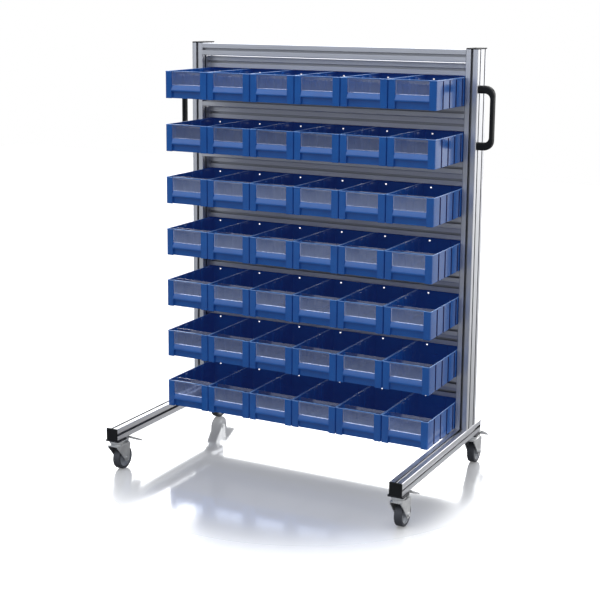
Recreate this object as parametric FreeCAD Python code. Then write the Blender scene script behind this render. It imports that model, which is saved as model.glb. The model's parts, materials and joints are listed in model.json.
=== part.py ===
import FreeCAD, Part
import math
import os

# A wheeled cart. Two slotted posts stand on long legs and carry rails in two
# planes, and seven rows of six bins rest on the front rails.
# Lengths are in millimetres: X to the right, Y to the back, Z up.
# The sizes below count Y from the front face of the posts. The finished
# pieces are moved so that the origin is under the middle of the whole cart.

# Slotted profile, one cell of which is a square with a slot in each side
profile_width = 40.0
profile_corner = 2.0
slot_mouth = 8.2
slot_lip = 4.5
slot_cavity = 20.0
slot_depth = 12.25
slot_floor = 12.4
core_bore = 6.8
mouth_overcut = 1.0

# Bins
row_count = 7
column_count = 6
row_pitch = 172.0
bin_width = 155.5
bin_depth = 300.0
bin_height = 88.0
bin_gap = 1.0
bin_wall = 2.5
bin_corner = 5.0
bin_reach = 231.0
rest_gap = 0.3
hold_gap = 0.3

# Front of a bin, from the floor up: finger recess, grip lip, ledge, window, rim
front_post = 23.5
recess_depth = 8.0
recess_top = 23.0
grip_top = 27.0
ledge_height = 42.0
ledge_depth = 4.5
pane_recess = 4.0
pane_thickness = 2.0
rim_height = 4.0
rim_bar_height = 2.5
rim_bar_lip = 1.5

# Guides in the sides of a bin: a groove outside, a slotted column inside
guide_count = 4
guide_pitch = 53.5
guide_width = 13.0
guide_depth = 5.5
groove_width = 10.0
groove_depth = 3.5
slot_width = 2.6
slot_inset = 2.5
rib_length = 24.0
rib_height = 2.0
rib_depth = 1.5
rib_level = 58.0
rib_bays = (2.5, 4.5)

# Cross divider that stands in the first pair of guides
divider_thickness = 2.0
divider_drop = 4.6
divider_gap = 0.3

# Hole and hook pocket in the rear wall of a bin
hole_inset = 27.8
hole_width = 6.0
hole_height = 4.5
hole_level = 74.0
hook_width = 44.0
hook_depth = 3.0
hook_level = 44.0

# Legs and end caps
leg_reach_front = 522.0
leg_reach_back = 50.0
cap_thickness = 4.0

# Casters
caster_height = 108.0
plate_size = 50.0
plate_thickness = 4.0
caster_inset_front = 21.0
caster_inset_back = 28.0
swivel_gap = 0.3
kingpin_radius = 4.0
kingpin_head_radius = 7.0
kingpin_head_height = 4.0
running_gap = 0.05
crown_radius = 22.0
crown_height = 9.0
crown_round = 2.25
neck_radius = 18.0
fork_thickness = 3.0
fork_inner_width = 32.0
fork_bridge_top = 88.0
fork_front = 20.0
fork_back = 38.0
fork_eye_radius = 12.0
cheek_hollow = 3.0
wheel_radius = 37.5
wheel_width = 25.0
tread_thickness = 9.0
tread_round = 4.0
hub_web = 12.0
hub_boss_radius = 11.0
hub_gap = 0.3
trail = 32.0
axle_radius = 4.0
axle_head_radius = 6.5
axle_head_height = 3.5

# Brake lever, placed from the swivel axis and the floor
brake_pin_radius = 2.5
brake_pin_back = 46.0
brake_pin_height = 83.0
brake_pin_overhang = 1.0
brake_eye_radius = 5.0
lever_thickness = 3.0
lever_width = 26.0
lever_top = 98.0
pad_start = 60.0
pad_tip_back = 118.0
pad_tip_height = 70.0
pad_width = 34.0
pad_thickness = 5.0
shoe_back = 58.0
shoe_height = 74.0
shoe_width = 15.0

# Bow handles
handle_drop = 208.0
handle_pitch = 174.0
handle_foot = 24.0
handle_width = 22.0
handle_reach = 50.0
handle_grip = 13.0
handle_corner = 30.0
handle_edge = 5.0

# Screws
screw_radius = 3.3
screw_hole_radius = 3.6
screw_head_radius = 4.0
screw_head_height = 6.0
screw_bite = 25.0
leg_screw_first = 27.0
leg_screw_pitch = 50.0
nut_width = 16.0
nut_thickness = 5.0

# Lengths below this count as none
tolerance = 1e-6

# Sizes that follow
column_pitch = bin_width + bin_gap
rail_length = column_count * column_pitch + bin_gap
post_middle = rail_length / 2 + profile_width / 2
outer_face = rail_length / 2 + profile_width
post_depth = 2 * profile_width
leg_top = caster_height + profile_width
post_top = leg_top + row_count * row_pitch
leg_front = -leg_reach_front
leg_back = post_depth + leg_reach_back
front_row = profile_width / 2
rear_row = front_row + profile_width
leg_middle_height = caster_height + profile_width / 2
axle_height = wheel_radius
lever_back = pad_tip_back + pad_thickness / 2
cart_front = leg_front - cap_thickness
cart_back = leg_back - caster_inset_back + lever_back
middle_depth = (cart_front + cart_back) / 2
fork_half = fork_inner_width / 2
caster_places = {
    "front": leg_front + caster_inset_front,
    "rear": leg_back - caster_inset_back,
}
sides = {"left": -1, "right": 1}

X_AXIS = FreeCAD.Vector(1, 0, 0)
Y_AXIS = FreeCAD.Vector(0, 1, 0)
Z_AXIS = FreeCAD.Vector(0, 0, 1)


def box(x, y, z):
    """A block from pairs of low and high values."""
    corner = FreeCAD.Vector(x[0], y[0], z[0])
    return Part.makeBox(x[1] - x[0], y[1] - y[0], z[1] - z[0], corner)


def around(middle, width):
    """The low and high value of a span about its middle."""
    return (middle - width / 2, middle + width / 2)


def rod(radius, start, direction, length):
    """A round bar from a point along a direction."""
    return Part.makeCylinder(radius, length, FreeCAD.Vector(*start), direction)


def flat(points):
    """A flat face inside a closed outline of straight lines."""
    corners = [FreeCAD.Vector(*point) for point in points]
    return Part.Face(Part.makePolygon(corners + corners[:1]))


def moved(shape, x=0.0, y=0.0, z=0.0):
    """A copy of a shape at another place."""
    copy = shape.copy()
    copy.translate(FreeCAD.Vector(x, y, z))
    return copy


def mirrored(shape, x=0.0):
    """A copy of a shape mirrored in a plane across X."""
    return shape.mirror(FreeCAD.Vector(x, 0, 0), X_AXIS)


def fused(shapes):
    """One solid made of several that touch or overlap."""
    first, rest = shapes[0], shapes[1:]
    whole = first.fuse(rest) if rest else first
    return whole.removeSplitter()


def edges_along(shape, axis):
    """The straight edges of a shape that run along one axis."""
    found = []
    for edge in shape.Edges:
        if isinstance(edge.Curve, Part.Line):
            direction = edge.tangentAt(edge.FirstParameter)
            if abs(abs(direction.dot(axis)) - 1) < tolerance:
                found.append(edge)
    return found


def save(name, solids):
    """Writes one piece, placed from the cart's origin."""
    shape = solids[0] if len(solids) == 1 else Part.makeCompound(solids)
    moved(shape, y=-middle_depth).exportStep("parts/" + name + ".step")


# Slotted profiles


def slot_cut(cell_x, cell_y, turn):
    """The outline of one slot, cut inward from the side of a cell."""
    half = profile_width / 2
    shoulder = slot_depth - (slot_cavity - slot_floor) / 2
    steps = [
        (-mouth_overcut, slot_mouth / 2),
        (slot_lip, slot_mouth / 2),
        (slot_lip, slot_cavity / 2),
        (shoulder, slot_cavity / 2),
        (slot_depth, slot_floor / 2),
    ]
    right = [(half - depth, side, 0) for depth, side in steps]
    left = [(half - depth, -side, 0) for depth, side in reversed(steps)]
    face = flat(right + left)
    face.rotate(FreeCAD.Vector(0, 0, 0), Z_AXIS, turn)
    return moved(face, cell_x, cell_y)


def profile(cells, length):
    """A bar of one or more cells side by side along Y, standing on its end."""
    width = profile_width
    depth = cells * profile_width
    blank = box((-width / 2, width / 2), (-depth / 2, depth / 2), (0, length))
    blank = blank.makeFillet(profile_corner, edges_along(blank, Z_AXIS))
    section = [face for face in blank.Faces if abs(face.CenterOfMass.z) < tolerance][0]
    cuts = []
    for cell in range(cells):
        middle = (cell + 0.5) * width - depth / 2
        cuts.append(slot_cut(0, middle, 0))
        cuts.append(slot_cut(0, middle, 180))
        bore = Part.makeCircle(core_bore / 2, FreeCAD.Vector(0, middle, 0))
        cuts.append(Part.Face(Part.Wire(bore)))
        if cell == 0:
            cuts.append(slot_cut(0, middle, 270))
        if cell == cells - 1:
            cuts.append(slot_cut(0, middle, 90))
    section = section.cut(cuts).Faces[0]
    return section.extrude(FreeCAD.Vector(0, 0, length))


def make_posts_and_legs():
    """The left and right side frames, each a post standing on its leg."""
    post = profile(2, post_top - leg_top)
    leg = profile(1, leg_back - leg_front)
    leg.rotate(FreeCAD.Vector(0, 0, 0), X_AXIS, -90)
    for name, side in sides.items():
        x = side * post_middle
        standing = moved(post, x, post_depth / 2, leg_top)
        lying = moved(leg, x, leg_front, leg_middle_height)
        through = []
        for y, z in rail_places():
            through.append(rod(screw_hole_radius, (x - profile_width, y, z), X_AXIS, 2 * profile_width))
        for y in leg_screw_places():
            through.append(rod(screw_hole_radius, (x, y, leg_middle_height), X_AXIS * side, profile_width))
        post_hole = rod(screw_hole_radius, (x, rear_row, caster_height), Z_AXIS, profile_width)
        standing = standing.cut(through)
        lying = lying.cut(through + [post_hole])
        save("side_frame_" + name, [standing, lying])


def rail_levels():
    """Top of each front rail, from the one between the legs to the top one."""
    return [leg_top + level * row_pitch for level in range(row_count + 1)]


def bin_levels():
    """Underside of each row of bins, from the lowest row up."""
    return [top + rest_gap for top in rail_levels()[:row_count]]


def rail_places():
    """Middle line of each rail, front rails first. The rear rails lie just over
    the rims of the bins and keep them from tipping forward."""
    half = profile_width / 2
    front = [(front_row, top - half) for top in rail_levels()]
    rear = [(rear_row, level + bin_height + hold_gap + half) for level in bin_levels()]
    return front + rear


def make_rails():
    """All rails, cut square between the posts."""
    rail = profile(1, rail_length)
    rail.rotate(FreeCAD.Vector(0, 0, 0), Y_AXIS, 90)
    save("crossbars", [moved(rail, -rail_length / 2, y, z) for y, z in rail_places()])


# Caps and screws


def connector_places():
    """Each screw that runs through a post or leg into the end of a rail."""
    return [(side, y, z) for side in sides.values() for y, z in rail_places()]


def leg_screw_places():
    """The two screws in a leg in front of its post."""
    return [-leg_screw_first, -leg_screw_first - leg_screw_pitch]


def screw(length):
    """A screw with its head's seat at the origin, shank towards -Z."""
    head = rod(screw_head_radius, (0, 0, 0), Z_AXIS, screw_head_height)
    socket = rod(screw_head_radius / 2, (0, 0, screw_head_height / 2), Z_AXIS, screw_head_height)
    shank = rod(screw_radius, (0, 0, -length), Z_AXIS, length)
    return fused([head.cut(socket), shank])


def side_screw(side, y, z, length):
    """A screw that lies across, its head at the floor of an outer slot."""
    placed = screw(length)
    placed.rotate(FreeCAD.Vector(0, 0, 0), Y_AXIS, 90 * side)
    return moved(placed, side * (outer_face - slot_depth), y, z)


def end_cap(cells):
    """A cap with rounded corners that lies on the end of a profile."""
    half_depth = cells * profile_width / 2
    half = profile_width / 2
    plate = box((-half, half), (-half_depth, half_depth), (0, cap_thickness))
    plate = plate.makeFillet(profile_corner, edges_along(plate, Z_AXIS))
    top = [edge for edge in plate.Edges if abs(edge.CenterOfMass.z - cap_thickness) < tolerance]
    return plate.makeChamfer(profile_corner / 2, top)


def make_caps_and_screws():
    """End caps of posts and legs, and the frame's screws."""
    solids = []
    post_cap = end_cap(2)
    leg_cap = end_cap(1)
    front_cap = leg_cap.copy()
    front_cap.rotate(FreeCAD.Vector(0, 0, 0), X_AXIS, 90)
    back_cap = leg_cap.copy()
    back_cap.rotate(FreeCAD.Vector(0, 0, 0), X_AXIS, -90)
    connector_length = profile_width - slot_depth + screw_bite
    for side in sides.values():
        x = side * post_middle
        solids.append(moved(post_cap, x, post_depth / 2, post_top))
        solids.append(moved(front_cap, x, leg_front, leg_middle_height))
        solids.append(moved(back_cap, x, leg_back, leg_middle_height))
        for y in leg_screw_places():
            solids.append(side_screw(side, y, leg_middle_height, profile_width / 2 - slot_depth))
        upright = screw(connector_length)
        upright.rotate(FreeCAD.Vector(0, 0, 0), X_AXIS, 180)
        solids.append(moved(upright, x, rear_row, caster_height + slot_depth))
    for side, y, z in connector_places():
        solids.append(side_screw(side, y, z, connector_length))
    save("caps_and_screws", solids)


# Handles


def slot_nut(x, y, z):
    """A nut block behind the lips of an outer slot."""
    inside = outer_face - slot_lip
    span = sorted((x * inside, x * (inside - nut_thickness)))
    half = nut_width / 2
    return box(span, (y - half, y + half), (z - half, z + half))


def handle_bow():
    """A bow that stands out from the side of a post, made for the right side."""
    half = (handle_pitch + handle_foot) / 2
    gap = half - handle_foot
    half_width = handle_width / 2
    blank = box((0, handle_reach), (-half_width, half_width), (-half, half))
    outer = [edge for edge in edges_along(blank, Y_AXIS) if edge.CenterOfMass.x > handle_grip]
    blank = blank.makeFillet(handle_corner, outer)
    inside = box((-handle_edge, handle_reach - handle_grip), (-half, half), (-gap, gap))
    inner = [edge for edge in edges_along(inside, Y_AXIS) if edge.CenterOfMass.x > 0]
    inside = inside.makeFillet(handle_corner - handle_grip, inner)
    bow = blank.cut(inside)
    rim = []
    for edge in bow.Edges:
        middle = edge.CenterOfMass
        flat_rim = abs(abs(middle.y) - half_width) < tolerance
        if flat_rim and middle.x > handle_edge:
            rim.append(edge)
    return bow.makeFillet(handle_edge, rim)


def make_handles():
    """Two bows, each held by a screw and a slot nut in either foot."""
    solids = []
    bow = handle_bow()
    hole = screw_radius + running_gap
    seat = handle_foot / 2
    middle = post_top - handle_drop
    for side in sides.values():
        face = side * outer_face
        placed = moved(bow, outer_face, front_row, middle)
        placed = placed if side > 0 else mirrored(placed)
        for step in (-1, 1):
            z = middle + step * handle_pitch / 2
            start = (face - side * profile_width, front_row, z)
            placed = placed.cut(rod(hole, start, X_AXIS * side, 2 * profile_width + handle_reach))
            sink = (face + side * seat, front_row, z)
            placed = placed.cut(rod(screw_head_radius + running_gap, sink, X_AXIS * side, handle_reach))
            bolt = screw(seat + slot_lip + nut_thickness)
            bolt.rotate(FreeCAD.Vector(0, 0, 0), Y_AXIS, 90 * side)
            solids.append(moved(bolt, face + side * seat, front_row, z))
            nut = slot_nut(side, front_row, z)
            start = (face - side * profile_width, front_row, z)
            solids.append(nut.cut(rod(screw_radius, start, X_AXIS * side, 2 * profile_width)))
        solids.append(placed)
    save("handles", solids)


# Casters, made about their swivel axis and placed under the legs


def make_caster_plates():
    """Plates under the legs with the kingpins that carry the forks."""
    half = plate_size / 2
    plate = box((-half, half), (-half, half), (caster_height - plate_thickness, caster_height))
    plate = plate.makeFillet(plate_thickness, edges_along(plate, Z_AXIS))
    plate = plate.cut(rod(kingpin_radius, (0, 0, 0), Z_AXIS, leg_top))
    head_top = fork_bridge_top - fork_thickness - swivel_gap
    pin_top = caster_height + slot_lip + nut_thickness
    head = rod(kingpin_head_radius, (0, 0, head_top - kingpin_head_height), Z_AXIS, kingpin_head_height)
    shaft = rod(kingpin_radius, (0, 0, head_top), Z_AXIS, pin_top - head_top)
    pin = fused([head, shaft])
    reach = nut_width / 2
    nut = box((-reach, reach), (-reach, reach), (pin_top - nut_thickness, pin_top))
    nut = nut.cut(rod(kingpin_radius, (0, 0, 0), Z_AXIS, leg_top))
    solids = []
    for side in sides.values():
        for y in caster_places.values():
            solids += [moved(piece, side * post_middle, y) for piece in (plate, pin, nut)]
    save("caster_plates", solids)


def fork_cheek():
    """One side of the fork, cut from sheet, with its front edge curving down to the axle."""
    eye = (trail, axle_height)
    top = fork_bridge_top
    lean = math.atan2(fork_front, top - axle_height)
    front_touch = (eye[0] - fork_eye_radius * math.cos(lean), eye[1] - fork_eye_radius * math.sin(lean))
    back_touch = (eye[0] + fork_eye_radius, eye[1])
    bottom = (eye[0], eye[1] - fork_eye_radius)
    ear = brake_pin_back + brake_eye_radius
    ear_height = brake_pin_height
    shoulder = (-fork_front, top - 2 * fork_thickness)
    halfway = [(high + low) / 2 for high, low in zip(shoulder, front_touch)]
    bend = (halfway[0] + cheek_hollow, halfway[1] - cheek_hollow)
    place = [FreeCAD.Vector(0, y, z) for y, z in (shoulder, bend, front_touch)]
    outline = [
        Part.Arc(*place).toShape(),
        Part.Arc(place[-1], FreeCAD.Vector(0, *bottom), FreeCAD.Vector(0, *back_touch)).toShape(),
    ]
    path = [back_touch, (ear, ear_height), (ear - brake_eye_radius, top), (-fork_front, top), shoulder]
    for start, end in zip(path, path[1:]):
        outline.append(Part.makeLine(FreeCAD.Vector(0, *start), FreeCAD.Vector(0, *end)))
    return Part.Face(Part.Wire(outline)).extrude(FreeCAD.Vector(fork_thickness, 0, 0))


def fork_body():
    """Crown, bridge and two cheeks as one pressed piece."""
    crown_top = caster_height - plate_thickness - swivel_gap
    crown_foot = crown_top - crown_height
    crown = rod(crown_radius, (0, 0, crown_foot), Z_AXIS, crown_height)
    rim = [edge for edge in crown.Edges if isinstance(edge.Curve, Part.Circle)]
    crown = crown.makeFillet(crown_round, rim)
    outer = fork_half + fork_thickness
    bridge_low = fork_bridge_top - fork_thickness
    neck = rod(neck_radius, (0, 0, bridge_low), Z_AXIS, crown_top - crown_height / 2 - bridge_low)
    bridge = box((-outer, outer), (-fork_front, fork_back), (bridge_low, fork_bridge_top))
    cheek = moved(fork_cheek(), fork_half)
    body = fused([crown, neck, bridge, cheek, mirrored(cheek)])
    body = body.cut(rod(kingpin_radius + running_gap, (0, 0, 0), Z_AXIS, leg_top))
    body = body.cut(rod(axle_radius, (-outer, trail, axle_height), X_AXIS, 2 * outer))
    return body.cut(rod(brake_pin_radius, (-outer, brake_pin_back, brake_pin_height), X_AXIS, 2 * outer))


def fork_solids():
    """The fork with its axle bolt and the pin of the brake lever."""
    outer = fork_half + fork_thickness
    shank = rod(axle_radius, (-outer, trail, axle_height), X_AXIS, 2 * outer)
    head = rod(axle_head_radius, (outer, trail, axle_height), X_AXIS, axle_head_height)
    axle = fused([shank, head, mirrored(head)])
    pin_half = outer + brake_pin_overhang
    pin = rod(brake_pin_radius, (-pin_half, brake_pin_back, brake_pin_height), X_AXIS, 2 * pin_half)
    return [fork_body(), axle, pin]


def wheel_solids():
    """A rubber tread on a hub whose boss runs on the axle."""
    half = wheel_width / 2
    centre = (trail, axle_height)
    rim_radius = wheel_radius - tread_thickness
    tread = rod(wheel_radius, (-half, *centre), X_AXIS, wheel_width)
    shoulders = [edge for edge in tread.Edges if isinstance(edge.Curve, Part.Circle)]
    tread = tread.makeFillet(tread_round, shoulders)
    tread = tread.cut(rod(rim_radius, (-half, *centre), X_AXIS, wheel_width))
    boss_half = fork_half - hub_gap
    boss = rod(hub_boss_radius, (-boss_half, *centre), X_AXIS, 2 * boss_half)
    web = rod(rim_radius, (-hub_web / 2, *centre), X_AXIS, hub_web)
    ring_inner = rim_radius - bin_wall
    ring = rod(rim_radius, (-half, *centre), X_AXIS, wheel_width)
    ring = ring.cut(rod(ring_inner, (-half, *centre), X_AXIS, wheel_width))
    hub = fused([ring, web, boss])
    hub = hub.cut(rod(axle_radius + running_gap, (-fork_half, *centre), X_AXIS, fork_inner_width))
    return [tread, hub]


def thick_line(points, thickness, width):
    """A sheet bent along points in the YZ plane, with round outer joints."""
    solids = []
    radius = thickness / 2
    for start, end in zip(points, points[1:]):
        length = math.dist(start, end)
        turn = math.degrees(math.atan2(end[1] - start[1], end[0] - start[0]))
        piece = box((-width / 2, width / 2), (0, length), (-radius, radius))
        piece.rotate(FreeCAD.Vector(0, 0, 0), X_AXIS, turn)
        solids.append(moved(piece, 0, *start))
    for point in points:
        solids.append(rod(radius, (-width / 2, *point), X_AXIS, width))
    return solids


def lever_solids():
    """The brake lever: an eye on the pin, an arm that rises over the wheel, a shoe and a pad."""
    pin = (brake_pin_back, brake_pin_height)
    shoulder = (brake_pin_back + brake_eye_radius, lever_top)
    start = (pad_start, lever_top)
    tip = (pad_tip_back, pad_tip_height)
    eye = rod(brake_eye_radius, (-lever_width / 2, *pin), X_AXIS, lever_width)
    arm = thick_line([pin, shoulder, start], lever_thickness, lever_width)
    pad = thick_line([start, tip], pad_thickness, pad_width)
    shoe = thick_line([pin, (shoe_back, shoe_height)], lever_thickness, shoe_width)
    lever = fused([eye] + arm + pad + shoe)
    return [lever.cut(rod(brake_pin_radius + running_gap, (-fork_half, *pin), X_AXIS, fork_inner_width))]


def make_casters():
    """Four casters, each a fork, a wheel and a brake lever."""
    pieces = {"fork": fork_solids(), "wheel": wheel_solids(), "brake_lever": lever_solids()}
    for end, y in caster_places.items():
        for side_name, side in sides.items():
            for kind, solids in pieces.items():
                placed = [moved(solid, side * post_middle, y) for solid in solids]
                save("_".join((kind, end, side_name)), placed)


# Bins, made with the front left bottom corner at the origin


def bin_blank():
    """An open box with rounded upright edges and the front cut away between the corner posts."""
    outer = box((0, bin_width), (0, bin_depth), (0, bin_height))
    outer = outer.makeFillet(bin_corner, edges_along(outer, Z_AXIS))
    inner_x = (bin_wall, bin_width - bin_wall)
    inner_y = (bin_wall, bin_depth - bin_wall)
    inner = box(inner_x, inner_y, (bin_wall, bin_height + bin_wall))
    inner = inner.makeFillet(bin_corner - bin_wall, edges_along(inner, Z_AXIS))
    between_posts = (front_post, bin_width - front_post)
    gate = box(between_posts, (0, bin_wall), (0, bin_height))
    recess = box(between_posts, (0, recess_depth), (0, recess_top))
    return outer.cut([inner, gate, recess])


def bin_front():
    """The bent front: finger recess, grip lip and the ledge under the window."""
    slope = pane_recess / (ledge_height - grip_top)
    slope_wall = bin_wall * math.hypot(1, slope)
    ledge_back = pane_recess + ledge_depth
    under_ledge = ledge_height - bin_wall
    recess_back = recess_depth + bin_wall
    outline = [
        (recess_depth, 0),
        (recess_depth, recess_top),
        (0, recess_top),
        (0, grip_top),
        (pane_recess, ledge_height),
        (ledge_back, ledge_height),
        (ledge_back, under_ledge),
        (slope_wall + (under_ledge - grip_top) * slope, under_ledge),
        (bin_wall, grip_top - (slope_wall - bin_wall) / slope),
        (bin_wall, recess_top + bin_wall),
        (recess_back, recess_top + bin_wall),
        (recess_back, 0),
    ]
    span = bin_width - 2 * front_post
    bent = flat([(front_post, y, z) for y, z in outline]).extrude(FreeCAD.Vector(span, 0, 0))
    cheek_span = (front_post - bin_wall, front_post)
    low_cheek = box(cheek_span, (0, recess_back), (0, recess_top + bin_wall))
    high_cheek = box(cheek_span, (0, ledge_back), (recess_top, bin_height))
    rim_span = (front_post, bin_width - front_post)
    rim_depth = (pane_recess - rim_bar_lip, pane_recess + pane_thickness + rim_bar_lip)
    rim = box(rim_span, rim_depth, (bin_height - rim_bar_height, bin_height))
    cheeks = [low_cheek, high_cheek]
    return [bent, rim] + cheeks + [mirrored(cheek, bin_width / 2) for cheek in cheeks]


def guide_places():
    """Distance of each guide from the front of the bin."""
    return [guide_pitch * (step + 1) for step in range(guide_count)]


def bin_shell():
    """The moulded shell of a bin."""
    column_top = bin_height - rim_height
    added = bin_front()
    removed = []
    for y in guide_places():
        face = bin_wall + guide_depth
        column = box((bin_wall / 2, face), around(y, guide_width), (bin_wall / 2, column_top))
        slot = box((face - slot_inset, face), around(y, slot_width), (bin_wall, column_top))
        groove = box((0, groove_depth), around(y, groove_width), (0, column_top))
        added += [column, mirrored(column, bin_width / 2)]
        removed += [slot, groove, mirrored(slot, bin_width / 2), mirrored(groove, bin_width / 2)]
    for bay in rib_bays:
        rib_y = around(bay * guide_pitch, rib_length)
        rib = box((bin_wall / 2, bin_wall + rib_depth), rib_y, (rib_level - rib_height, rib_level))
        added += [rib, mirrored(rib, bin_width / 2)]
    hook_x = around(bin_width / 2, hook_width)
    back = bin_depth - bin_wall
    added.append(box(hook_x, (back - hook_depth, bin_depth), (hook_level, bin_height)))
    pocket_x = (hook_x[0] + bin_wall, hook_x[1] - bin_wall)
    pocket_y = (back - hook_depth + bin_wall, bin_depth)
    removed.append(box(pocket_x, pocket_y, (hook_level + bin_wall, bin_height - rim_height)))
    hole = box(around(hole_inset, hole_width), (back, bin_depth), around(hole_level, hole_height))
    removed.append(hole)
    return fused([bin_blank()] + added).cut(removed).removeSplitter()


def bin_pane():
    """The clear window that stands on the ledge behind the rim."""
    width = (front_post, bin_width - front_post)
    depth = (pane_recess, pane_recess + pane_thickness)
    return box(width, depth, (ledge_height, bin_height - rim_bar_height))


def bin_divider():
    """A cross plate that stands on the floor in the first pair of guides."""
    side = bin_wall + guide_depth - slot_inset + divider_gap
    depth = around(guide_places()[0], divider_thickness)
    return box((side, bin_width - side), depth, (bin_wall, bin_height - divider_drop))


def make_bins():
    """Every bin, resting on the front rail of its row."""
    solids = [bin_shell(), bin_pane(), bin_divider()]
    for row in range(1, row_count + 1):
        z = bin_levels()[row_count - row]
        for column in range(1, column_count + 1):
            x = (column - 1) * column_pitch - rail_length / 2 + bin_gap
            placed = [moved(solid, x, -bin_reach, z) for solid in solids]
            save("bin_r%d_c%d" % (row, column), placed)


os.makedirs("parts", exist_ok=True)
make_posts_and_legs()
make_rails()
make_caps_and_screws()
make_handles()
make_caster_plates()
make_casters()
make_bins()
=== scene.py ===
# %% [markdown]
# # A wheeled cart with rows of bins
# Two slotted aluminium posts stand on long legs with casters, and rails between
# them carry open plastic bins. The frame, the joints and the sizes come from the
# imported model. This lesson gives every piece its finish, and builds the pieces
# whose look needs more than one material or softer edges.

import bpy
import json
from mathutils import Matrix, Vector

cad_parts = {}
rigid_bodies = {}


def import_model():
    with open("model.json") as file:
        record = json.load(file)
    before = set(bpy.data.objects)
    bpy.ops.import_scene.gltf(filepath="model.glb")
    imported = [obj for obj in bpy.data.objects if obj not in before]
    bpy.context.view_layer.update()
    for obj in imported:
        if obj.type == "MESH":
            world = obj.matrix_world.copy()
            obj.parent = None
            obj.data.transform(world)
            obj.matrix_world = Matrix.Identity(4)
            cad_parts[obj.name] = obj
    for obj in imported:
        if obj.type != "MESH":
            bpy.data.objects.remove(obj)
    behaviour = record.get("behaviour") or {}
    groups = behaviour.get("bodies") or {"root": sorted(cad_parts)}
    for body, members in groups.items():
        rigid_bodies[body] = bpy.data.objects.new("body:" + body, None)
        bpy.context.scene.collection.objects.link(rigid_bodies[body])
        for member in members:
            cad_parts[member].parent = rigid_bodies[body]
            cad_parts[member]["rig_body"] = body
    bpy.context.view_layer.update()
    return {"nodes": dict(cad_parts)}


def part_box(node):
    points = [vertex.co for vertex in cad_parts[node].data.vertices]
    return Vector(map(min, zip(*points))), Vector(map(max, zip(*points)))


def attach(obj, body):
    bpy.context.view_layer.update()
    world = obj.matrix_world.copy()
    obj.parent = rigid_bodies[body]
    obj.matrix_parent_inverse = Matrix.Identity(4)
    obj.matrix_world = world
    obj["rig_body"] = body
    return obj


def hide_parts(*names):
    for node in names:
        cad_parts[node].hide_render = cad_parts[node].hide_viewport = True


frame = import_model()

# %% Modules and units
import json
import math

import bmesh
import bpy
import numpy as np
from mathutils import Matrix

MM = 0.001
nodes = frame["nodes"]
bin_names = sorted(name for name in nodes if name.startswith("bin_"))
print(len(nodes), "nodes, of which", len(bin_names), "are bins")

# %% [markdown]
# ## Surfaces from numbers
# A moulded or turned piece is a surface over two counters: one runs round a
# closed outline, the other along a path or round an axis. It could be pushed and
# pulled into shape by hand, but then its sizes are lost. Here the points come
# from whole arrays, and the faces join each point to its neighbours, so every
# shape below is only a formula for its points.

# %% Faces of a grid


def grid_faces(rows, columns, close_rows=False, close_columns=False):
    """Four-sided faces of a grid of points: each joins a point to the next in its
    row and to the same two in the next row, with the last joined to the first
    where a direction is closed."""
    row = np.arange(rows if close_rows else rows - 1)[:, None]
    column = np.arange(columns if close_columns else columns - 1)[None, :]
    next_row = (row + 1) % rows
    next_column = (column + 1) % columns
    corners = [
        row * columns + column,
        row * columns + next_column,
        next_row * columns + next_column,
        next_row * columns + column,
    ]
    filled = [np.broadcast_to(corner, (row.size, column.size)) for corner in corners]
    return np.stack(filled, -1).reshape(-1, 4)


print("a 3 by 4 grid has", len(grid_faces(3, 4)), "faces")

# %% Closed solids


def tube(rings):
    """A closed solid from rings of points, shape (rings, points, 3): side faces
    between neighbouring rings and one flat face on either end."""
    count, around = rings.shape[:2]
    faces = grid_faces(count, around, close_columns=True).tolist()
    faces.append(list(range(around)))
    faces.append(list(range((count - 1) * around, count * around)))
    return rings.reshape(-1, 3), faces


def turned(outline, centre, steps=72):
    """A closed outline of (along, radius) turned once about the X direction
    through a centre: each point keeps its X and goes round at its radius."""
    angle = np.linspace(0, 2 * math.pi, steps, endpoint=False)[:, None]
    along = np.broadcast_to(outline[:, 0], (steps, len(outline)))
    points = np.stack([along, outline[:, 1] * np.cos(angle), outline[:, 1] * np.sin(angle)], -1)
    faces = grid_faces(steps, len(outline), close_rows=True, close_columns=True).tolist()
    return points.reshape(-1, 3) + centre, faces


def bar_along_x(outline, left, right):
    """A solid with a constant (y, z) outline between two X places."""
    ends = np.array([left, right])[:, None]
    across = np.broadcast_to(ends, (2, len(outline)))
    section = np.broadcast_to(outline[None], (2, len(outline), 2))
    return tube(np.concatenate([across[..., None], section], -1))


print("a tube of 2 rings of 4 points has", len(tube(np.zeros((2, 4, 3)))[1]), "faces")

# %% Outlines with soft corners


def rounded(corners, radius, steps=4):
    """A closed outline with soft corners: near each corner the point runs on the
    curve (1-t)^2 A + 2t(1-t) C + t^2 B, from A to B, which lie a radius away
    from the corner C along its two sides."""
    corner = np.array(corners, float)
    reach = np.broadcast_to(np.array(radius, float), len(corner))[:, None]
    to_last = np.roll(corner, 1, 0) - corner
    to_next = np.roll(corner, -1, 0) - corner
    before = corner + reach * to_last / np.linalg.norm(to_last, axis=1, keepdims=True)
    after = corner + reach * to_next / np.linalg.norm(to_next, axis=1, keepdims=True)
    t = np.linspace(0, 1, steps)[None, :, None]
    curve = (1 - t) ** 2 * before[:, None] + 2 * t * (1 - t) * corner[:, None] + t**2 * after[:, None]
    return curve.reshape(-1, 2)


print("a soft square has", len(rounded([(0, 0), (1, 0), (1, 1), (0, 1)], 0.1)), "points")

# %% Meshes and pieces


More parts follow.
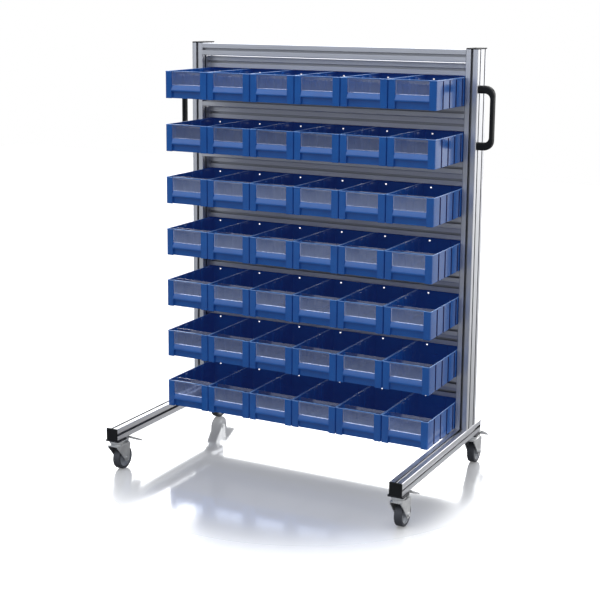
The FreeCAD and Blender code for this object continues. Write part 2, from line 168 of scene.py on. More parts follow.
def mesh_of(name, parts, sharp=35):
    """One mesh from several closed solids, in millimetres: faces are turned to
    point outward, and edges sharper than an angle stay crisp."""
    points, faces, start = [], [], 0
    for part_points, part_faces in parts:
        points.append(part_points)
        faces += [[index + start for index in face] for face in part_faces]
        start += len(part_points)
    mesh = bpy.data.meshes.new(name)
    mesh.from_pydata((np.concatenate(points) * MM).tolist(), [], faces)
    work = bmesh.new()
    work.from_mesh(mesh)
    bmesh.ops.recalc_face_normals(work, faces=work.faces)
    work.to_mesh(mesh)
    work.free()
    mesh.shade_smooth()
    mesh.set_sharp_from_angle(angle=math.radians(sharp))
    return mesh


def piece(name, mesh, node, material):
    """An object for a finished mesh that stands for a node and rides with its body."""
    made = bpy.data.objects.new(name, mesh)
    bpy.context.scene.collection.objects.link(made)
    made.data.materials.append(material)
    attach(made, nodes[node]["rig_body"])
    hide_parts(node)
    return made


# %% [markdown]
# ## Sums with colours and numbers
# A finish is a sum: a little more roughness where a noise is high, a darker tone
# where a slot is. Written one node after another, such sums are hard to read. So a
# small class wraps a socket and lets plain plus, minus and times add the Math
# nodes. Every other node comes from one method, which takes its kind, its
# settings, and the values or links of its sockets.

# %% Sockets as numbers


class Value:
    """The output of a node, which can be used in a sum."""

    def __init__(self, tree, output):
        self.tree = tree
        self.output = output

    def sum(self, operation, first, second):
        """A Math node on two values or numbers."""
        return self.tree.add("Math", {"operation": operation}, {0: first, 1: second})

    def __add__(self, other):
        return self.sum("ADD", self, other)

    __radd__ = __add__

    def __mul__(self, other):
        return self.sum("MULTIPLY", self, other)

    __rmul__ = __mul__

    def __sub__(self, other):
        return self.sum("SUBTRACT", self, other)

    def __rsub__(self, other):
        return self.sum("SUBTRACT", other, self)

    def above(self, limit):
        """1 where the value is higher than a limit, and 0 elsewhere."""
        return self.sum("GREATER_THAN", self, limit)


print("a value can be added, subtracted, multiplied and compared")

# %% Nodes of a tree


class NodeTree:
    """The nodes of a material or of the world, added one by one."""

    def __init__(self, owner):
        owner.use_nodes = True
        self.tree = owner.node_tree
        self.tree.nodes.clear()

    def add(self, kind, settings=None, sockets=None, output=0):
        """A node of a kind, its settings first and then the values or links of its sockets."""
        made = self.tree.nodes.new("ShaderNode" + kind)
        for key, value in (settings or {}).items():
            setattr(made, key, value)
        for key, value in (sockets or {}).items():
            if isinstance(value, Value):
                self.tree.links.new(value.output, made.inputs[key])
            else:
                made.inputs[key].default_value = value
        return Value(self, made.outputs[output]) if len(made.outputs) else None

    def ray(self, kind):
        """What is known about the ray, such as Is Camera Ray, which is 1 or 0."""
        return self.add("LightPath", output=kind)

    def reach(self, place, direction):
        """How far a place lies in a direction: the sum of their products along X, Y and Z."""
        return self.add("VectorMath", {"operation": "DOT_PRODUCT"}, {0: place, 1: direction}, output="Value")

    def ramp(self, factor, low, high, dark=0.0, bright=1.0, shape="LINEAR"):
        """A value that goes from dark to bright while the factor goes from low to high."""
        sockets = {"Value": factor, "From Min": low, "From Max": high, "To Min": dark, "To Max": bright}
        return self.add("MapRange", {"interpolation_type": shape}, sockets)


print("nodes are added as Blender", bpy.app.version_string, "names them")

# %% Finish of a material


class Finish(NodeTree):
    """A material whose patterns follow the places of an object's points."""

    def __init__(self, name):
        self.material = bpy.data.materials.new(name)
        super().__init__(self.material)
        self.place = self.add("TexCoord", output="Object")

    def stretched(self, scale):
        """Object coordinates times a scale for each direction."""
        return self.add("Mapping", {"vector_type": "POINT"}, {"Vector": self.place, "Scale": scale})

    def noise(self, scale, vector=None, detail=3.0, rough=0.55):
        """A soft random pattern, with a scale in waves per metre."""
        sockets = {"Vector": vector or self.place, "Scale": scale, "Detail": detail, "Roughness": rough}
        return self.add("TexNoise", {}, sockets)

    def spread(self, noise, dark=0.0, bright=1.0):
        """A noise, most of which lies between 0.3 and 0.7, spread from dark to bright."""
        return self.ramp(noise, 0.3, 0.7, dark, bright)

    def marked(self, name):
        """A number that the mesh holds for each of its points."""
        return self.add("Attribute", {"attribute_name": name}, output="Fac")

    def away(self, place, middle):
        """How far a place is from a middle, as a positive number."""
        return self.add("Math", {"operation": "ABSOLUTE"}, {0: place - middle})

    def mix(self, factor, first, second):
        """A colour between two colours."""
        return self.add("Mix", {"data_type": "RGBA"}, {0: factor, 6: first, 7: second}, output=2)

    def bump(self, height, distance, strength=1.0):
        """A normal that leans as if the surface rose by the height times a distance."""
        return self.add("Bump", {}, {"Height": height, "Distance": distance, "Strength": strength})

    def surface(self, **sockets):
        """The finished surface: keys are socket names with underscores for spaces."""
        named = {key.replace("_", " "): value for key, value in sockets.items()}
        self.add("OutputMaterial", {}, {"Surface": self.add("BsdfPrincipled", {}, named)})
        return self.material


def tone(red, green, blue):
    """A colour given as it looks on a screen, 0 to 255, made linear for the shader."""
    screen = np.array([red, green, blue]) / 255
    low = screen / 12.92
    high = ((screen + 0.055) / 1.055) ** 2.4
    return (*np.where(screen <= 0.04045, low, high).tolist(), 1.0)


print("mid grey in linear light:", round(tone(128, 128, 128)[0], 3))

# %% [markdown]
# ## Moulded plastic of the bins
# The bins are blue polypropylene from a fine-grained mould: even in colour, half
# glossy, and a touch uneven over wide faces where the melt cooled. One flat colour
# would look painted, and a strong pattern would look dirty. So a weak wide noise
# moves the tone, a fine one gives the grain, and both stay small. The thin walls
# let a little light through, and a faint blue glow inside the bins is painted light
# for it. The mesh says where a groove is, where hardly any light reaches in, and
# the colour there is painted shade. It also says where the rim is, which gets a
# painted highlight.

# %% Bin plastic


def bin_plastic():
    """Blue that a wide noise moves, with painted shade in the grooves, a painted
    highlight on the rim and a faint painted glow inside.
    """
    finish = Finish("bin_plastic")
    cloudy = finish.noise(14.0)
    grain = finish.noise(1900.0, detail=2.0)
    wall_tone = finish.mix(finish.ramp(cloudy, 0.35, 0.65), tone(9, 79, 149), tone(12, 86, 158))
    # Painted shade: the grooves take a darker tone, as little light reaches into them.
    painted_groove_shade = tone(8, 30, 78)
    # Painted highlight: the upper edge of the rim takes a paler tone.
    painted_rim_highlight = tone(112, 158, 214)
    # Painted light: a faint blue glow that lightens the insides of the bins.
    painted_inner_glow = tone(13, 21, 53)
    groove_shaded = finish.mix(finish.marked("deep"), wall_tone, painted_groove_shade)
    return finish.surface(
        Base_Color=finish.mix(finish.marked("rim"), groove_shaded, painted_rim_highlight),
        Roughness=0.17 + finish.spread(grain, bright=0.08) + finish.spread(cloudy, bright=0.05),
        Normal=finish.bump(grain, 0.03 * MM, 0.4),
        IOR=1.5,
        Specular_IOR_Level=0.25,
        Coat_Weight=0.4,
        Coat_Roughness=0.12,
        Emission_Color=painted_inner_glow,
        Emission_Strength=1.0,
    )


blue_plastic = bin_plastic()
print("made", blue_plastic.name)

# %% [markdown]
# ## Clear window and divider
# The window and the divider are thin clear styrene. Such a sheet shows what is
# behind it and, like a weak mirror, the pale floor in front of it. It is more
# solid along the window's thicker border and along a band at the divider's top.
# Inside the border the window grows more solid towards its foot, which paints a
# lighter reflection low on the window. Real refraction would only add noise in
# such a thin sheet, so the finish mirrors and lets most light through, and the
# mesh says how solid each point is.

# %% See-through plastics


def clear_plastic(name, colour, solid, rim, roughness):
    """A weak mirror that is solid by one share on the plain sheet and by another
    where the mesh marks it as fully solid, with a faint haze in both."""
    finish = Finish(name)
    haze = finish.noise(60.0)
    plain = finish.spread(haze, solid - 0.02, solid + 0.02)
    return finish.surface(
        Base_Color=colour,
        Metallic=0.85,
        Roughness=finish.spread(haze, roughness, roughness + 0.04),
        Alpha=plain + finish.marked("solid_share") * (rim - solid),
        IOR=1.5,
    )


window_tone, divider_tone = tone(196, 212, 246), tone(204, 210, 228)
window_plastic = clear_plastic("window_plastic", window_tone, solid=0.13, rim=0.85, roughness=0.06)
divider_plastic = clear_plastic("divider_plastic", divider_tone, solid=0.1, rim=0.45, roughness=0.12)
print("made", window_plastic.name, "and", divider_plastic.name)

# %% [markdown]
# ## Satin aluminium
# The profiles are drawn through a die and anodised. The die leaves faint lines
# along each bar, so the noise is stretched along the bar: along X on rails, along
# Z on posts and along Y on legs. One node holds a post and its leg, and the
# height tells them apart. The slots are darker than the outer faces: painted
# shade, as little light reaches into them. They could be cut out as pieces of
# their own, but the places of the bars already say where a slot is, so the
# finish works it out.

# %% Places of the bars

BAR = 40 * MM
skin = BAR / 2 - 0.6 * MM
row_pitch = 172 * MM
rear_drop = 43.4 * MM
frame_low, frame_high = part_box("side_frame_left")
leg_top = frame_low.z + BAR
posts_out = -(frame_low.x + frame_high.x) / 2
rails_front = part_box("crossbars")[0].y
rails_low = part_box("crossbars")[0].z + BAR / 2
print("the posts stand", round(posts_out, 3), "metres to either side")

# %% Slots of the bars


def rail_slots(finish, place):
    """1 in the slots of the rails and 0 on their outer faces. The front rails are
    one pitch apart, and each rear rail is one bar further back and a drop lower."""
    y, z = place[1:]
    front = finish.away(y, rails_front + BAR)
    rear = (y - rails_front - BAR).above(0.0)
    height = z + rear * rear_drop - rails_low
    level = finish.add("Math", {"operation": "PINGPONG"}, {0: height, 1: row_pitch / 2})
    across = finish.away(front, BAR / 2)
    return (1 - across.above(skin)) * (1 - level.above(skin))


def frame_slots(finish, place):
    """1 in the slots of the posts and legs and 0 on their outer faces."""
    x, y, z = place
    across = finish.away(finish.away(x, 0.0), posts_out)
    upper = z.above(leg_top)
    post_face = finish.away(y, rails_front + BAR).above(BAR / 2 + skin)
    leg_face = finish.away(z, leg_top - BAR / 2).above(skin)
    return (1 - across.above(skin)) * (1 - post_face * upper) * (1 - leg_face * (1 - upper))


print("an outer face starts", round(skin / MM, 1), "mm from the middle of its bar")

# %% Profile metal


def drawn_lines(finish, along):
    """Fine lines along one direction: a noise with few waves per metre that way
    and very many across it."""
    many, few = 900.0, 4.0
    scale = [few if axis == along else many for axis in "XYZ"]
    return finish.noise(1.0, finish.stretched(scale), detail=2.0)


def aluminium(name, slots, shade, lines_along, upper_along=None):
    """Metal of a grey shade, with lines along a direction and, above the legs,
    along another where one is given. The lines move tone, gloss and height."""
    finish = Finish(name)
    place = [finish.add("SeparateXYZ", {}, {"Vector": finish.place}, output=index) for index in range(3)]
    lines = drawn_lines(finish, lines_along)
    if upper_along is not None:
        upper = place[2].above(leg_top)
        lines = lines * (1 - upper) + drawn_lines(finish, upper_along) * upper
    cloudy = finish.noise(9.0)
    darker = tone(shade, shade + 1, shade + 4)
    lighter = tone(shade + 10, shade + 11, shade + 14)
    # Painted shade: the slots take a darker tone, as little light reaches into them.
    painted_slot_shade = tone(165, 166, 170)
    outer = finish.mix(finish.spread(lines), darker, lighter)
    return finish.surface(
        Base_Color=finish.mix(slots(finish, place), outer, painted_slot_shade),
        Metallic=1.0,
        Roughness=finish.spread(lines, 0.34, 0.42) + finish.spread(cloudy, bright=0.03),
        Normal=finish.bump(lines, 0.01 * MM, 0.3),
    )


rail_metal = aluminium("rail_metal", rail_slots, shade=192, lines_along="X")
frame_metal = aluminium("frame_metal", frame_slots, shade=203, lines_along="Y", upper_along="Z")
print("made", rail_metal.name, "and", frame_metal.name)

# %% [markdown]
# ## Black plastic, steel, zinc and rubber
# Caps and handles are black polyamide with a fine grain, and the caster plates are
# dark painted steel. Forks and levers are zinc-plated sheet, matt and slightly
# mottled. Treads are dull grey rubber, and the hubs are smooth grey plastic. All
# are even finishes with a grain of their own size, so one function makes them.

# %% Small finishes


def grained(name, tones, rough, scale, depth, metallic=0.0, gloss=0.5):
    """An even finish: a wide noise moves the tone between two tones, and a fine
    grain moves the roughness between two values and the height by a depth."""
    finish = Finish(name)
    grain = finish.noise(scale)
    cloudy = finish.noise(35.0)
    return finish.surface(
        Base_Color=finish.mix(finish.spread(cloudy), *tones),
        Metallic=metallic,
        Roughness=finish.spread(grain, *rough),
        Normal=finish.bump(grain, depth, 0.6),
        Specular_IOR_Level=gloss,
    )


black_tones = tone(13, 14, 15), tone(19, 20, 22)
steel_tones = tone(52, 52, 56), tone(66, 66, 70)
zinc_tones = tone(188, 189, 190), tone(212, 213, 213)
rubber_tones = tone(52, 54, 59), tone(62, 64, 70)
hub_tones = tone(150, 153, 158), tone(166, 169, 174)
black_plastic = grained("black_plastic", black_tones, (0.5, 0.62), scale=1400.0, depth=0.05 * MM, gloss=0.2)
dark_steel = grained("dark_steel", steel_tones, (0.35, 0.5), scale=700.0, depth=0.04 * MM, metallic=0.8)
zinc = grained("zinc", zinc_tones, (0.32, 0.5), scale=260.0, depth=0.04 * MM, metallic=0.9)
rubber = grained("rubber", rubber_tones, (0.55, 0.7), scale=900.0, depth=0.06 * MM)
hub_plastic = grained("hub_plastic", hub_tones, (0.35, 0.45), scale=1200.0, depth=0.03 * MM)
print("made five small finishes")

# %% [markdown]
# ## Pieces that keep their shape
# The profiles, caps, handles, plates, forks and levers are right as they come
# from the frame, so they only take a finish. Their meshes are left alone.

# %% Dress the frame

dressed = {
    "side_frame_left": frame_metal,
    "side_frame_right": frame_metal,
    "crossbars": rail_metal,
    "caps_and_screws": black_plastic,
    "handles": black_plastic,
    "caster_plates": dark_steel,
}
for name in nodes:
    if name.startswith(("fork_", "brake_lever_")):
        dressed[name] = zinc
for name, material in dressed.items():
    for socket in nodes[name].material_slots:
        socket.material = material
print("dressed", len(dressed), "nodes")

# %% [markdown]
# ## The wall of a bin
# On the real bin one thin wall runs from the left front post round the back to
# the right front post. Grooves dent it outside, slotted columns stand inside,
# and the rim is a little thicker. Flat plates joined at the corners would need
# every groove cut by hand. So the wall is one surface: a path in plan, and round
# each point of the path a closed loop that goes up the outside, over the rim and
# down the inside. Grooves, columns, ribs and the pocket only push points of that
# surface inward.

# %% Sizes of a bin

# Bins and wheels are worked out in millimetres, up to the making of their meshes.
low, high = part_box(bin_names[0])
width, depth, height = [(b - a) / MM for a, b in zip(low, high)]
top = round(height, 1)
corner = 5.0
post = 23.5
guide_pitch = 53.5
guides = guide_pitch * np.arange(1, 5)
ribs = guide_pitch * np.array([2.5, 4.5])
hole_x, hole_half, hole_low, hole_high, hole_rise = 27.8, 3.0, 71.8, 76.2, 2.0
pocket_half, pocket_edge, pocket_depth = 22.0, 0.8, 3.0
print("a bin is", round(width, 1), "by", round(depth, 1), "by", top, "mm")

# %% Grooves, columns and ribs

# Each is a depth over the distance from the middle of its guide or rib.
groove_places, groove_depths = [4.2, 5.0], [3.5, 0.0]
column_places, column_depths = [1.3, 1.5, 5.9, 6.7], [3.0, 5.5, 5.5, 0.0]
rib_places, rib_depths = [12.0, 12.5], [1.5, 0.0]
print("a groove is", groove_depths[0], "mm deep and a column stands", column_depths[1], "mm proud")

# %% Path of the wall


def arc(x, y, start, end, steps=7):
    """Places and inward directions on a quarter circle between two angles."""
    angle = np.radians(np.linspace(start, end, steps))[1:-1]
    outward = np.stack([np.cos(angle), np.sin(angle)], -1)
    return np.array([x, y]) + corner * outward, -outward


def straight(points, inward):
    """Places on a straight stretch, which share one inward direction."""
    places = np.array(points, float)
    return places, np.broadcast_to(np.array(inward, float), places.shape)


def both_sides(middles, distances):
    """Places at some distances on either side of each middle."""
    distance = np.array(distances)
    return (middles[:, None] + np.concatenate([-distance, distance])).ravel()


def half_path():
    """The left half of the wall in plan, from the front post to the middle of the back."""
    guide_edges = both_sides(guides, groove_places + column_places)
    side = np.concatenate([[corner, depth - corner], guide_edges, both_sides(ribs, rib_places)])
    hole = hole_x + hole_half * np.cos(np.linspace(math.pi, 0, 7))
    pocket = width / 2 - pocket_half + np.array([-pocket_edge, pocket_edge])
    back = np.concatenate([[corner], hole, pocket, [width / 2]])
    stretches = [
        straight([(x, 0.0) for x in (post, (post + corner) / 2, corner)], (0, 1)),
        arc(corner, corner, 270, 180),
        straight([(0.0, y) for y in np.sort(side)], (1, 0)),
        arc(corner, depth - corner, 180, 90),
        straight([(x, depth) for x in back], (0, -1)),
    ]
    return [np.concatenate(column) for column in zip(*stretches)]


def whole_path():
    """Both halves: the right one is the left one mirrored and walked backwards."""
    places, inward = half_path()
    mirror = places[-2::-1] * (-1, 1) + (width, 0)
    return np.concatenate([places, mirror]), np.concatenate([inward, inward[-2::-1] * (-1, 1)])


path, inward = whole_path()
print("the path of the wall has", len(path), "places")

# %% Loop of the wall

# Each level is: height, inset, groove or column share, pocket share, rib share.
outer_face, inner_face = 0.6, 2.5
outside = np.array([
    (0.0, 1.2, 1, 0, 0),
    (0.8, outer_face, 1, 0, 0),
    (43.5, outer_face, 1, 0, 0),
    (46.5, outer_face, 1, 1, 0),
    (hole_low, outer_face, 1, 1, 0),
    (hole_high, outer_face, 1, 1, 0),
    (top - 5.6, outer_face, 1, 1, 0),
    (top - 4.4, outer_face, 0, 0, 0),
    (top - 3.8, 0.1, 0, 0, 0),
    (top - 1.2, 0.0, 0, 0, 0),
    (top - 0.4, 0.35, 0, 0, 0),
    (top, 1.0, 0, 0, 0),
])
inside = np.array([
    (top, 2.2, 0, 0, 0),
    (top - 0.4, 2.9, 0, 0, 0),
    (top - 1.2, 3.2, 0, 0, 0),
    (top - 3.4, 3.2, 0, 0, 0),
    (top - 4.2, inner_face, 0, 0, 0),
    (top - 5.4, inner_face, 1, 1, 0),
    (hole_high, inner_face, 1, 1, 0),
    (hole_low, inner_face, 1, 1, 0),
    (58.3, inner_face, 1, 1, 0),
    (57.8, inner_face, 1, 1, 1),
    (56.4, inner_face, 1, 1, 1),
    (55.6, inner_face, 1, 1, 0),
    (46.5, inner_face, 1, 1, 0),
    (43.5, inner_face, 1, 0, 0),
    (2.2, inner_face, 1, 0, 0),
    (0.4, inner_face, 1, 0, 0),
])
print("the loop has", len(outside), "levels outside and", len(inside), "inside")

# %% Points of the wall


def wall_shape():
    """Points of the wall: place on the path, plus the inward direction times the
    inset of the level and what groove, column, rib and pocket push in there. The
    hole's lower edge rises to its ends by one less the root of 1 - s^2, with s
    the share of the way from its middle."""
    nowhere = 1e3
    on_side = np.abs(inward[:, 0]) == 1
    from_guide = np.where(on_side, np.abs(path[:, 1:] - guides).min(1), nowhere)
    from_rib = np.where(on_side, np.abs(path[:, 1:] - ribs).min(1), nowhere)
    at_back = path[:, 1] == depth
    from_middle = np.where(at_back, np.abs(path[:, 0] - width / 2), nowhere)
    groove = np.interp(from_guide, groove_places, groove_depths)
    column = np.interp(from_guide, column_places, column_depths)
    rib = np.interp(from_rib, rib_places, rib_depths)
    pocket_places = [pocket_half - pocket_edge, pocket_half + pocket_edge]
    pocket = np.interp(from_middle, pocket_places, [pocket_depth, 0.0])
    loop = np.concatenate([outside, inside])
    dent = np.where(np.arange(len(loop)) < len(outside), groove[:, None], column[:, None])
    push = loop[:, 1] + dent * loop[:, 2] + pocket[:, None] * loop[:, 3] + rib[:, None] * loop[:, 4]
    plan = path[:, None] + inward[:, None] * push[..., None]
    level = np.broadcast_to(loop[:, 0], push.shape).copy()
    from_hole = np.abs(path[:, 0] - hole_x) / hole_half
    at_hole = at_back & (from_hole < 1.001)
    rise = hole_rise * (1 - np.sqrt(np.clip(1 - from_hole**2, 0, 1))) * at_hole
    level += rise[:, None] * (loop[:, 0] == hole_low)
    return np.concatenate([plan, level[..., None]], -1)


print("the wall has", wall_shape().shape[:2], "points along and around")

# %% Faces of the wall


def level_at(levels, height):
    """The place in a list of levels of the one at a height."""
    return int(np.flatnonzero(levels[:, 0] == height)[0])


def wall():
    """The wall as a closed solid, with the small hole cut through the back."""
    points = wall_shape()
    count, around = points.shape[:2]
    index = np.arange(count * around).reshape(count, around)
    faces = grid_faces(count, around, close_columns=True)
    low_out, high_out = [level_at(outside, height) for height in (hole_low, hole_high)]
    low_in, high_in = [len(outside) + level_at(inside, height) for height in (hole_low, hole_high)]
    over_hole = (path[:, 1] == depth) & (np.abs(path[:, 0] - hole_x) < hole_half - 0.01)
    first, last = np.flatnonzero(over_hole)[[0, -1]] + (-1, 1)
    keep = np.ones(len(faces), bool).reshape(count - 1, around)
    keep[first:last, [low_out, high_in]] = False
    outer = np.concatenate([index[first:last + 1, low_out], index[first:last + 1, high_out][::-1]])
    inner = np.concatenate([index[first:last + 1, low_in], index[first:last + 1, high_in][::-1]])
    edge = np.stack([outer, np.roll(outer, -1), np.roll(inner, -1), inner], -1)
    faces = np.concatenate([faces[keep.ravel()], edge]).tolist()
    return points.reshape(-1, 3), faces + [index[0].tolist(), index[-1].tolist()]


wall_solid = wall()
print("the wall has", len(wall_solid[1]), "faces")

# %% [markdown]
# ## Floor and front of a bin
# The floor follows the path of the wall, a little inside it. The front between
# the posts is one bent sheet: a recess for the fingers, a lip to pull at, and a
# slope up to the ledge that the window stands on. Separate flat plates would leave
# hard joints there. A bent sheet is a constant outline carried straight across, so
# its corners are rounded in the outline. Two cheeks close its ends, and a bar
# joins the posts at the rim.

# %% Floor plate

sheet_gap = 0.05
front_line = 8.8
floor_inset, floor_low, floor_high = 1.3, 0.4, 2.4


def floor_plate():
    """Two copies of the path, pulled in past the grooves, joined top and bottom."""
    groove = np.interp(np.abs(path[:, 1:] - guides).min(1), groove_places, groove_depths)
    push = floor_inset + groove * (np.abs(inward[:, 0]) == 1)
    outline = path + inward * push[:, None]
    notch = np.array([(width - post, front_line), (post, front_line)])
    outline = np.concatenate([outline, notch])
    level = np.array([floor_low, floor_high])[:, None, None]
    rings = np.broadcast_to(outline[None], (2, *outline.shape))
    return tube(np.concatenate([rings, np.broadcast_to(level, (2, len(outline), 1))], -1))


print("the floor has", len(floor_plate()[1]), "faces")

# %% Front and cheeks

overlap = 0.2
ledge = 42.0
rim_bar_foot = top - 2.5
cheek_wall = 2.4


def across_front(outline):
    """An outline carried from post to post, and a little way into both."""
    return bar_along_x(outline, post - overlap, width - post + overlap)


def bent_front():
    """The outline of the bent sheet, corner by corner from the recess, each with
    its depth, its height and its radius."""
    corners = np.array([
        (8.1, 0.3, 0.5),
        (8.1, 23.0, 1.5),
        (0.05, 23.0, 1.0),
        (0.05, 27.0, 1.2),
        (4.0, ledge, 0.7),
        (8.4, ledge, 0.7),
        (8.4, 39.6, 0.7),
        (5.85, 39.6, 0.7),
        (2.5, 26.6, 0.4),
        (2.5, 25.4, 0.4),
        (10.4, 25.4, 1.5),
        (10.4, 0.3, 0.5),
    ])
    return across_front(rounded(corners[:, :2], corners[:, 2]))


def rim_bar():
    """The bar over the window, level with the rim."""
    corners = [(2.55, rim_bar_foot), (2.55, top), (7.45, top), (7.45, rim_bar_foot)]
    return across_front(rounded(corners, 0.7))


def cheek(left):
    """The end wall of the recess and of the window frame."""
    corners = [(0.4, 0.4), (10.4, 0.4), (10.4, 25.3), (8.4, 30.0), (8.4, top - 0.6), (0.4, top - 0.6)]
    return bar_along_x(rounded(corners, 0.6), left, left + cheek_wall)


left_cheek = cheek(post - cheek_wall - sheet_gap)
right_cheek = cheek(width - post + sheet_gap)
print("the bent sheet has", len(bent_front()[1]), "faces")

# %% Mesh of a shell


def mark(mesh, name, share):
    """A number for each point of a mesh, worked out from its places in the bin."""
    points = np.empty(len(mesh.vertices) * 3, np.float32)
    mesh.vertices.foreach_get("co", points)
    marked = mesh.attributes.new(name, "FLOAT", "POINT")
    marked.data.foreach_set("value", share(*points.reshape(-1, 3).T / MM).astype(np.float32))


def groove_shade_share(across, along, up):
    """1 in the outer grooves of the side walls, whose colour gets painted shade, and 0 elsewhere."""
    from_guide = np.abs(along[:, None] - guides).min(1)
    from_side = np.minimum(across, width - across)
    groove_floor = outer_face + groove_depths[0] + 0.5
    return (from_guide < groove_places[1] + 0.1) & (from_side < groove_floor) & (up < top - 5.0)


def rim_highlight_share(across, along, up):
    """1 on the upper edge of the rim, which gets a painted highlight, and 0 below it."""
    return up > top - 0.7


shell_solids = [wall_solid, floor_plate(), bent_front(), rim_bar(), left_cheek, right_cheek]
shell = mesh_of("bin_shell", shell_solids)
# "deep" marks where the colour gets painted shade in the grooves.
mark(shell, "deep", groove_shade_share)
# "rim" marks where the colour gets a painted highlight.
mark(shell, "rim", rim_highlight_share)
print("a shell has", len(shell.polygons), "faces")

# %% [markdown]
# ## Window and divider
# The window is a plate with a raised border, which catches a thin line of light
# all round. The divider stands in the first guides: a plain plate with softened
# edges and a more solid band along its top. A bevel would round a plain plate but
# not raise a border on it. So each is a stack of rectangles from its back face to
# its front face, and each rectangle has its own depth and its own distance from
# the edge.

# %% Window


def stacked_plate(x, z, steps):
    """Rectangles between two X and two Z places, one for each (depth, inset) step."""
    y, inset = np.array(steps, float).T
    left, right = x[0] + inset, x[1] - inset
    foot, head = z[0] + inset, z[1] - inset
    corners = [(left, y, foot), (right, y, foot), (right, y, head), (left, y, head)]
    return tube(np.stack([np.stack(corner, -1) for corner in corners], 1))


pane_x = (post + sheet_gap, width - post - sheet_gap)
pane_z = (ledge + sheet_gap, rim_bar_foot - sheet_gap)
pane_back = [(6.0, 2.4), (5.7, 2.0), (6.2, 1.5), (6.2, 0.3)]
pane_front = [(4.3, 0.0), (4.0, 0.3), (4.0, 1.5), (4.6, 2.0), (4.6, 2.4)]
# Inside the border the window is more solid towards its foot: a painted reflection.
pane_border, painted_reflection_at_foot = 2.1, 0.25


def border_and_reflection_share(across, along, up):
    """1 on the border, and inside it a share that falls from the foot to the top:
    a painted reflection, lighter low on the window.
    """
    to_side = np.minimum(across - pane_x[0], pane_x[1] - across)
    to_end = np.minimum(up - pane_z[0], pane_z[1] - up)
    from_top = (pane_z[1] - up) / (pane_z[1] - pane_z[0])
    return np.where(np.minimum(to_side, to_end) < pane_border, 1.0, painted_reflection_at_foot * from_top)


pane = mesh_of("bin_window", [stacked_plate(pane_x, pane_z, pane_back + pane_front)], sharp=20)
mark(pane, "solid_share", border_and_reflection_share)
print("a window has", len(pane.polygons), "faces")

# %% Divider

divider_end = 5.8
divider_foot, band_foot, divider_top = 2.5, 73.0, top - 4.6
divider_x = (divider_end, width - divider_end)
divider_steps = [(52.5, 0.4), (52.9, 0.0), (54.1, 0.0), (54.5, 0.4)]


def band_share(across, along, up):
    """1 on the band along the top and 0 below it."""
    return up > band_foot + 0.2


lower_plate = stacked_plate(divider_x, (divider_foot, band_foot), divider_steps)
top_band = stacked_plate(divider_x, (band_foot, divider_top), divider_steps)
divider = mesh_of("bin_divider", [lower_plate, top_band])
mark(divider, "solid_share", band_share)
print("a divider has", len(divider.polygons), "faces")

# %% [markdown]
# ## Forty-two bins
# Every bin is the same moulding at another place. Objects could share one mesh
# and stand at different places, but a finished object stays at the origin, with
# its place in its mesh, as the frame's own nodes are. So a copy of each mesh is
# moved by its bin's corner.

# %% Place the bins


def copy_at(mesh, name, node, material, offset):
    """A copy of a mesh, moved in its own points."""
    copy = mesh.copy()
    copy.transform(Matrix.Translation(offset))
    return piece(name, copy, node, material)


for name in bin_names:
    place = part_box(name)[0]
    copy_at(shell, name + "_shell", name, blue_plastic, place)
    copy_at(pane, name + "_window", name, window_plastic, place)
    copy_at(divider, name + "_divider", name, divider_plastic, place)
print("placed", 3 * len(bin_names), "pieces")

# %% [markdown]
# ## Wheels
# A wheel is a rubber tread on a plastic hub. The hub has a rim, a thin web and a
# boss, with the axle's bore left open. Both are round, so a plain cylinder comes
# to mind, but it has no web and no soft shoulders. So both are turned shapes: a
# closed outline goes once round the axle.

# %% Outlines of a wheel

tread_half, tread_inner, tread_outer = 12.4, 28.4, 37.4
tread_corners = [
    (-tread_half, tread_inner),
    (-tread_half, tread_outer),
    (tread_half, tread_outer),
    (tread_half, tread_inner),
]
tread_outline = rounded(tread_corners, [0.8, 4.5, 4.5, 0.8], 8)

# Each corner of a hub's half is: distance from the middle, radius, softness.
hub_half = np.array([
    (15.6, 4.2, 0.6),
    (15.6, 9.6, 1.2),
    (6.2, 11.4, 1.6),
    (6.2, 24.6, 1.6),
    (11.8, 25.8, 0.6),
    (11.8, 28.2, 0.4),
])
hub_corners = np.concatenate([hub_half, hub_half[::-1] * (-1, 1, 1)])
hub_outline = rounded(hub_corners[:, :2], hub_corners[:, 2])
print("the outlines have", len(tread_outline), "and", len(hub_outline), "points")

# %% Turn the wheels

wheel_names = sorted(name for name in nodes if name.startswith("wheel_"))
for name in wheel_names:
    low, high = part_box(name)
    centre = np.array((low + high) / 2) / MM
    tread = mesh_of(name + "_tread", [turned(tread_outline, centre)])
    hub = mesh_of(name + "_hub", [turned(hub_outline, centre)])
    piece(name + "_tread", tread, name, rubber)
    piece(name + "_hub", hub, name, hub_plastic)
print("turned", len(wheel_names), "wheels")

# %% [markdown]
# ## Floor
# The cart stands on a pale floor that runs far back, polished under the cart and
# matt further out. A floor lit to white by strong lamps would bleach the cart too.
# So for the camera the floor adds a little of its own white, which takes it to
# white and keeps the soft shadow. Mirrors see it greyer, so that metal and clear
# plastic keep their depth.

# %% White floor

back_right = (0.5, 0.866, 0.0)


